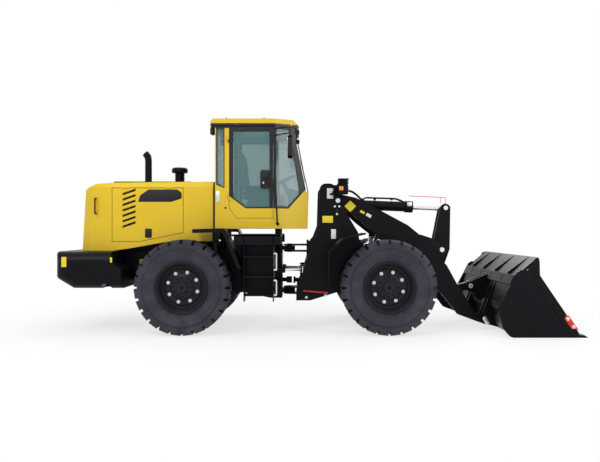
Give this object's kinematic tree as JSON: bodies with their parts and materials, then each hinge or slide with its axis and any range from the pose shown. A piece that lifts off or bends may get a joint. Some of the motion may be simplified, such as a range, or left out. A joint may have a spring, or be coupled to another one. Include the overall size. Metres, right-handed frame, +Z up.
{
  "type": "articulated wheel loader",
  "caption": "Articulated wheel loader with a glazed cab, hinged chassis, lugged tyres and a Z-bar arm carrying a general-purpose bucket.",
  "frame": {"origin": "on the ground under the middle of the machine's overall box", "axes": "+X forward to the bucket, +Y to the machine's left, +Z up"},
  "size_m": [7.28, 2.48, 3.0405],
  "materials": {
    "yellow_paint": "gloss",
    "black_paint": "semi-gloss",
    "dark_iron": "painted",
    "tyre": "matt",
    "glass": "tinted",
    "seat_cloth": "woven",
    "dash_plastic": "matt",
    "chrome_rod": "polished"
  },
  "bodies": {
    "rear_frame": {"rear_frame": "black_paint", "counterweight": "black_paint", "engine": "dark_iron", "radiator": "dark_iron", "gearbox": "dark_iron", "rear_shaft": "dark_iron", "hood": "yellow_paint", "exhaust": "black_paint", "pre_cleaner": "black_paint", "rear_axle": "dark_iron", "rear_fenders": "black_paint", "platform_right": "black_paint", "platform_left": "black_paint", "cab": "yellow_paint", "cab_roof": "yellow_paint", "cab_glass": "glass", "seat": "seat_cloth", "steering_console": "dash_plastic"},
    "front_frame": {"front_frame": "black_paint", "front_axle": "dark_iron", "front_shaft": "dark_iron", "front_fenders": "black_paint"},
    "boom": {"boom": "black_paint"},
    "bellcrank": {"bellcrank": "black_paint"},
    "bucket_link": {"bucket_link": "black_paint"},
    "bucket": {"bucket": "black_paint"},
    "tilt_barrel": {"tilt_barrel": "black_paint"},
    "tilt_rod": {"tilt_rod": "chrome_rod"},
    "grille_door": {"grille_door": "black_paint"},
    "cab_door_right": {"cab_door_right": "black_paint", "door_glass_right": "glass"},
    "hood_door_right": {"hood_door_right": "yellow_paint"},
    "lift_barrel_right": {"lift_barrel_right": "black_paint"},
    "lift_rod_right": {"lift_rod_right": "chrome_rod"},
    "steer_barrel_right": {"steer_barrel_right": "black_paint"},
    "steer_rod_right": {"steer_rod_right": "chrome_rod"},
    "cab_door_left": {"cab_door_left": "black_paint", "door_glass_left": "glass"},
    "hood_door_left": {"hood_door_left": "yellow_paint"},
    "lift_barrel_left": {"lift_barrel_left": "black_paint"},
    "lift_rod_left": {"lift_rod_left": "chrome_rod"},
    "steer_barrel_left": {"steer_barrel_left": "black_paint"},
    "steer_rod_left": {"steer_rod_left": "chrome_rod"},
    "wheel_front_right": {"tyre_front_right": "tyre", "rim_front_right": "black_paint"},
    "wheel_front_left": {"tyre_front_left": "tyre", "rim_front_left": "black_paint"},
    "wheel_rear_right": {"tyre_rear_right": "tyre", "rim_rear_right": "black_paint"},
    "wheel_rear_left": {"tyre_rear_left": "tyre", "rim_rear_left": "black_paint"}
  },
  "joints": [
    {"name": "steering", "type": "hinge", "parent": "rear_frame", "child": "front_frame", "pos_m": [-0.415, 0, 0.862], "axis": [0, 0, 1], "range_deg": [-36, 36]},
    {"name": "boom_lift", "type": "hinge", "parent": "front_frame", "child": "boom", "pos_m": [0.3, 0, 1.88], "axis": [0, -1, 0], "range_deg": [0, 78]},
    {"name": "bucket_tilt", "type": "hinge", "parent": "boom", "child": "bucket", "pos_m": [2.457, 0, 0.15], "axis": [0, 1, 0], "range_deg": [-42, 123]},
    {"name": "wheel_front_right_spin", "type": "hinge", "parent": "front_frame", "child": "wheel_front_right", "pos_m": [0.975, -0.925, 0.66], "axis": [0, 1, 0], "continuous": true},
    {"name": "wheel_front_left_spin", "type": "hinge", "parent": "front_frame", "child": "wheel_front_left", "pos_m": [0.975, 0.925, 0.66], "axis": [0, 1, 0], "continuous": true},
    {"name": "wheel_rear_right_spin", "type": "hinge", "parent": "rear_frame", "child": "wheel_rear_right", "pos_m": [-1.875, -0.925, 0.66], "axis": [0, 1, 0], "continuous": true},
    {"name": "wheel_rear_left_spin", "type": "hinge", "parent": "rear_frame", "child": "wheel_rear_left", "pos_m": [-1.875, 0.925, 0.66], "axis": [0, 1, 0], "continuous": true},
    {"name": "cab_door_right_hinge", "type": "hinge", "parent": "rear_frame", "child": "cab_door_right", "pos_m": [-1.266, -0.734, 2.2], "axis": [0, 0, -1], "range_deg": [0, 90]},
    {"name": "hood_door_right_hinge", "type": "hinge", "parent": "rear_frame", "child": "hood_door_right", "pos_m": [-2.44, -0.668, 2.057], "axis": [-1, 0, 0], "range_deg": [0, 80]},
    {"name": "cab_door_left_hinge", "type": "hinge", "parent": "rear_frame", "child": "cab_door_left", "pos_m": [-1.266, 0.734, 2.2], "axis": [0, 0, 1], "range_deg": [0, 90]},
    {"name": "hood_door_left_hinge", "type": "hinge", "parent": "rear_frame", "child": "hood_door_left", "pos_m": [-2.44, 0.668, 2.057], "axis": [1, 0, 0], "range_deg": [0, 80]},
    {"name": "grille_door_hinge", "type": "hinge", "parent": "rear_frame", "child": "grille_door", "pos_m": [-3.374, 0.466, 1.59], "axis": [0, 0, -1], "range_deg": [0, 100]},
    {"name": "bellcrank_pivot", "type": "hinge", "parent": "boom", "child": "bellcrank", "pos_m": [1.885, 0, 1.155], "axis": [0, -1, 0], "range_deg": [-10.58, 30.02]},
    {"name": "bucket_link_pivot", "type": "hinge", "parent": "bucket", "child": "bucket_link", "pos_m": [2.356, 0, 0.6], "axis": [0, -1, 0], "range_deg": [-27.38, 79.22]},
    {"name": "tilt_swing", "type": "hinge", "parent": "front_frame", "child": "tilt_barrel", "pos_m": [0.38, 0, 1.85], "axis": [0, -1, 0], "range_deg": [0, 78.72]},
    {"name": "tilt_stroke", "type": "slide", "parent": "tilt_barrel", "child": "tilt_rod", "axis": [0.9992, 0, -0.039], "range_m": [-0.2326, 0.0807]},
    {"name": "lift_right_swing", "type": "hinge", "parent": "front_frame", "child": "lift_barrel_right", "pos_m": [-0.05, -0.32, 0.56], "axis": [0, -1, 0], "range_deg": [0, 22.44]},
    {"name": "lift_right_stroke", "type": "slide", "parent": "lift_barrel_right", "child": "lift_rod_right", "axis": [0.7929, 0, 0.6093], "range_m": [0, 0.8751]},
    {"name": "steer_right_swing", "type": "hinge", "parent": "rear_frame", "child": "steer_barrel_right", "pos_m": [-1, -0.41, 0.862], "axis": [0, 0, 1], "range_deg": [-6.66, 6.66]},
    {"name": "steer_right_stroke", "type": "slide", "parent": "steer_barrel_right", "child": "steer_rod_right", "axis": [0.9877, 0.1563, 0], "range_m": [-0.1919, 0.1919]},
    {"name": "lift_left_swing", "type": "hinge", "parent": "front_frame", "child": "lift_barrel_left", "pos_m": [-0.05, 0.32, 0.56], "axis": [0, -1, 0], "range_deg": [0, 22.44]},
    {"name": "lift_left_stroke", "type": "slide", "parent": "lift_barrel_left", "child": "lift_rod_left", "axis": [0.7929, 0, 0.6093], "range_m": [0, 0.8751]},
    {"name": "steer_left_swing", "type": "hinge", "parent": "rear_frame", "child": "steer_barrel_left", "pos_m": [-1, 0.41, 0.862], "axis": [0, 0, 1], "range_deg": [-6.66, 6.66]},
    {"name": "steer_left_stroke", "type": "slide", "parent": "steer_barrel_left", "child": "steer_rod_left", "axis": [0.9877, -0.1563, 0], "range_m": [-0.1919, 0.1919]}
  ],
  "couplings": [
    {"joint": "bellcrank_pivot", "follows": "bucket_tilt", "ratio": 0.24},
    {"joint": "bucket_link_pivot", "follows": "bucket_tilt", "ratio": 0.64},
    {"joint": "tilt_swing", "follows": "boom_lift", "ratio": 1.0028},
    {"joint": "tilt_stroke", "follows": "bucket_tilt", "m_per_rad": -0.10741},
    {"joint": "lift_right_swing", "follows": "boom_lift", "ratio": 0.28128},
    {"joint": "lift_right_stroke", "follows": "boom_lift", "m_per_rad": 0.64135},
    {"joint": "steer_right_swing", "follows": "steering", "ratio": 0.17107},
    {"joint": "steer_right_stroke", "follows": "steering", "m_per_rad": 0.30224},
    {"joint": "lift_left_swing", "follows": "boom_lift", "ratio": 0.28128},
    {"joint": "lift_left_stroke", "follows": "boom_lift", "m_per_rad": 0.64135},
    {"joint": "steer_left_swing", "follows": "steering", "ratio": 0.17107},
    {"joint": "steer_left_stroke", "follows": "steering", "m_per_rad": -0.30224}
  ]
}
